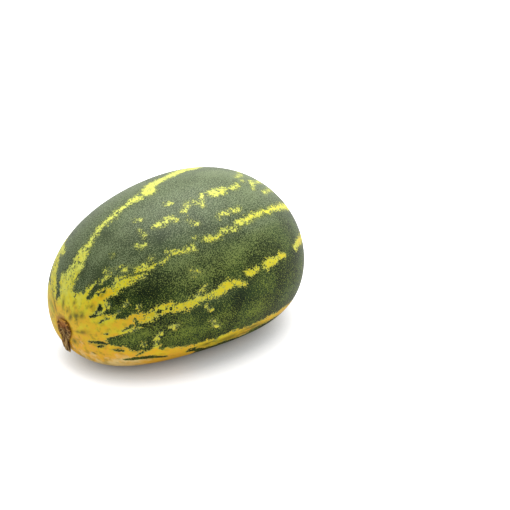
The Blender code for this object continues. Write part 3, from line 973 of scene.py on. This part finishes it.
# %% Flower's remnant: outline and rim
SCAR_RADIUS = 0.0048
SCAR_THICKNESS = 0.0009
SCAR_LOBES = ((1, 0.17, -1.3), (3, 0.04, 0.5), (7, 0.03, 1.9))
FLAP_LENGTH = 0.0059
FLAP_HALF_ANGLE = 0.36
FLAP_LIFT = 0.0008
FLAP_DIRECTION = (0.0, -0.12, -0.99)
CRACK_PLACE = (0.0010, 0.0016)
CRACK_LENGTH = 0.0030
CRACK_WIDTH = 0.0006
CRACK_WANDER = 0.0006
FOLD_DEPTH = 0.9
PIT_DEPTH = 0.6
PIT_GRAINS = 700
CRACK_DEPTH = 0.9
DEEPEST_HOLLOW = 1.5
HOLLOWING = 0.6
FLAP_SIDE_RISE = 0.28
FRAY_DEPTH = 0.00035
SCAR_OUTLINE = (
    (0.0, 0.0), (0.45, 0.0), (0.8, 0.0), (1.0, 0.3), (0.94, 1.0),
    (0.78, 0.85), (0.55, 0.55), (0.3, 0.45), (0.0, 0.55),
)


def on_ring(size, angle, height):
    """Where noise is read for an angle, so that it joins up after a full turn."""
    return Vector((size * math.cos(angle), size * math.sin(angle), height))


def scar_rim(angle):
    """Radius of the torn rim at an angle from the flap."""
    lobes = sum(depth * math.cos(count * angle + start) for count, depth, start in SCAR_LOBES)
    flap = FLAP_LENGTH * math.exp(-((angle / FLAP_HALF_ANGLE) ** 4))
    fray = FRAY_DEPTH * noise.noise(on_ring(3.5, angle, 4.0) * 3)
    torn = FRAY_DEPTH * abs(noise.noise(on_ring(2, angle, 7.0) * 3.2))
    ragged = 1 + 0.2 * noise.noise(Vector((angle * 25, 0, 2)))
    return SCAR_RADIUS * (1 + lobes) + flap * ragged + fray - torn


print("flap:", round(MM * (scar_rim(0.0) - SCAR_RADIUS), 1), "mm out from the rim")


# %% Flower's remnant: turn, crumple and seat it
scar_seat = frame_on_skin((-1, 0, 0), FLAP_DIRECTION)
scar_shape = turned_shape(SCAR_OUTLINE, 4, 180)
scar_values = []
for vertex in scar_shape.verts:
    share = math.hypot(vertex.co.x, vertex.co.y)
    angle = math.atan2(vertex.co.y, vertex.co.x)
    reach = share * scar_rim(angle)
    x = reach * math.cos(angle)
    y = reach * math.sin(angle)
    folds = noise.noise(on_ring(6, angle, 1.5 * share))
    standing = 1 - FLAP_SIDE_RISE + FLAP_SIDE_RISE * math.cos(angle)
    pits = noise.turbulence(Vector((x, y, 0.0)) * PIT_GRAINS, 3, True)
    off_crack = y - CRACK_PLACE[1] - CRACK_WANDER * noise.noise(Vector((x * 600, 0, 0)))
    along_crack = (x - CRACK_PLACE[0]) / CRACK_LENGTH
    crack = math.exp(-((off_crack / CRACK_WIDTH) ** 2) - along_crack ** 4)
    hollow = FOLD_DEPTH * max(-folds, 0.0) + PIT_DEPTH * pits + CRACK_DEPTH * crack
    depth = min(hollow, DEEPEST_HOLLOW) * min(vertex.co.z, 1.0)
    lift = FLAP_LIFT * max(reach / SCAR_RADIUS - 1, 0.0) ** 2
    seat = skin_height(scar_seat, x, y) + TOUCHING_GAP + lift
    vertex.co = (x, y, seat + SCAR_THICKNESS * standing * (vertex.co.z - HOLLOWING * depth))
    scar_values.append((depth, share, reach, angle))
bmesh.ops.transform(scar_shape, matrix=scar_seat, verts=scar_shape.verts)
scar = make_piece("blossom_remnant", scar_shape)
scar_values = np.array(scar_values)
store(scar, "pit", scar_values[:, 0])
store(scar, "fibre", as_on_a_tube(scar_values[:, 2], SCAR_RADIUS, scar_values[:, 3]))
store(scar, "rim", scar_values[:, 1])
print("remnant:", len(scar_values), "points, deepest pit", round(float(scar_values[:, 0].max()), 2))

# %% Flower's remnant: dry, corky and fibrous
CORK_DARK = (0.04, 0.014, 0.004, 1.0)
CORK_MID = (0.23, 0.11, 0.022, 1.0)
CORK_PALE = (0.5, 0.33, 0.13, 1.0)
CORK_RUSSET = (0.35, 0.115, 0.025, 1.0)
CORK_GOLD = (0.56, 0.27, 0.04, 1.0)

cork, tree, shader = new_material("corky remnant")
scar.data.materials.append(cork)
grain = add(tree, "TexCoord", {}, output="Object")
fibre = stored(tree, "fibre", "Vector")
pit = stored(tree, "pit")
rim = stored(tree, "rim")
fibres = stretched(tree, fibre, 500, 2600)
crumbs = scatter(tree, grain, 1800, detail=2.0, roughness=0.6)
colour = mix(tree, steps(tree, fibres, 0.42, 0.60), CORK_MID, CORK_PALE)
from_flap = add(tree, "SeparateXYZ", {0: fibre}, output=1)
away = steps(tree, from_flap, 0.002, -0.003)
colour = mix(tree, times(tree, away, 0.7), colour, CORK_RUSSET)
colour = mix(tree, times(tree, away, steps(tree, rim, 0.55, 0.95)), colour, CORK_GOLD)
creases = stretched(tree, fibre, 220, 1100, detail=2.0)
colour = mix(tree, steps(tree, creases, 0.53, 0.62, 0.0, 0.85), colour, CORK_DARK)
colour = mix(tree, steps(tree, pit, 0.18, 0.55, 0.0, 0.9), colour, CORK_DARK)
colour = mix(tree, steps(tree, crumbs, 0.56, 0.72, 0.0, 0.5), colour, CORK_DARK)
height = sum_of(tree, "ADD", fibres, crumbs)
finish_surface(tree, shader, colour, roughness=0.85, shine=0.1, height=height, strength=0.7)
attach(scar, "root")
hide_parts("blossom_scar")
print(len(tree.nodes), "nodes in the remnant's material")

# %% [markdown]
# ## The stem's stub
# At the other end a short piece of the stem stays on the picked fruit: five ribs that spread into
# the hollow, dry fibres along them, and a dished, pale cut. It is turned like the remnant; its ribs
# are a wave round it, and finer folds keep it from looking cast.

# %% Stem's stub: outline, ribs and seat
STUB_LENGTH = 0.0075
STUB_RIBS = 5
STUB_RIB_DEPTH = 0.07
STUB_RADIUS = 0.004
CUT_HEIGHT = 0.00675
CUT_RADIUS = 0.00345
CUT_ROUGHNESS = 0.0003
STUB_OUTLINE = (
    (0.0, 0.0), (0.003, 0.0), (0.0056, 0.0), (0.0058, 0.0006), (0.0047, 0.0016), (0.0039, 0.0032),
    (0.0036, 0.0052), (0.0037, 0.0070), (0.0034, STUB_LENGTH), (0.0024, 0.0070), (0.0, 0.0068),
)

stub_seat = frame_on_skin((1, 0, 0), (0, 0, 1))
stub_shape = turned_shape(STUB_OUTLINE, 5, 150)
stub_values = []
for vertex in stub_shape.verts:
    radius = math.hypot(vertex.co.x, vertex.co.y)
    angle = math.atan2(vertex.co.y, vertex.co.x)
    height = vertex.co.z
    cut = 1.0 if height > CUT_HEIGHT and radius < CUT_RADIUS else 0.0
    ring = on_ring(6, angle, 250 * height)
    folds = 0.05 * noise.noise(ring) + 0.02 * noise.noise(ring * 2.7)
    rib = 1 + STUB_RIB_DEPTH * math.cos(STUB_RIBS * angle) - abs(folds) * (1 - cut)
    x = vertex.co.x * rib
    y = vertex.co.y * rib
    torn = CUT_ROUGHNESS * abs(noise.noise(Vector((x, y, 0.0)) * 1500)) * cut
    seat = skin_height(stub_seat, x, y) + TOUCHING_GAP
    vertex.co = (x, y, height - torn + seat * (1 - height / STUB_LENGTH))
    stub_values.append((height, radius, angle, cut))
bmesh.ops.transform(stub_shape, matrix=stub_seat, verts=stub_shape.verts)
stub = make_piece("stem_end", stub_shape)
stub_values = np.array(stub_values)
store(stub, "fibre", as_on_a_tube(stub_values[:, 0], STUB_RADIUS, stub_values[:, 2]))
store(stub, "from_middle", stub_values[:, 1])
store(stub, "cut", stub_values[:, 3])
print("stub:", len(stub_values), "points")

# %% Stem's stub: dry bark and a pale cut
BARK_DARK = (0.09, 0.075, 0.022, 1.0)
BARK_PALE = (0.33, 0.31, 0.13, 1.0)
CUT_PALE = (0.52, 0.45, 0.24, 1.0)
CUT_RING = (0.21, 0.16, 0.07, 1.0)

bark, tree, shader = new_material("dry stem")
stub.data.materials.append(bark)
grain = add(tree, "TexCoord", {}, output="Object")
fibre = stored(tree, "fibre", "Vector")
from_middle = stored(tree, "from_middle")
is_cut = stored(tree, "cut")
fibres = stretched(tree, fibre, 350, 2600)
crumbs = scatter(tree, grain, 2200, detail=2.0, roughness=0.6)
bark_colour = mix(tree, steps(tree, fibres, 0.38, 0.64), BARK_DARK, BARK_PALE)
ring = push(tree, from_middle, crumbs, 0.0012)
inner = steps(tree, ring, 0.0014, 0.0021)
outer = steps(tree, ring, 0.0024, 0.0029, 1.0, 0.0)
cut_colour = mix(tree, times(tree, inner, outer), CUT_PALE, CUT_RING)
cut_colour = mix(tree, steps(tree, ring, 0.0004, 0.0009, 0.8, 0.0), cut_colour, CUT_RING)
colour = mix(tree, is_cut, bark_colour, cut_colour)
height = sum_of(tree, "ADD", fibres, crumbs)
finish_surface(tree, shader, colour, roughness=0.75, shine=0.3, height=height, strength=0.6)
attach(stub, "root")
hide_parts("stem_stub")
print(len(tree.nodes), "nodes in the stub's material")
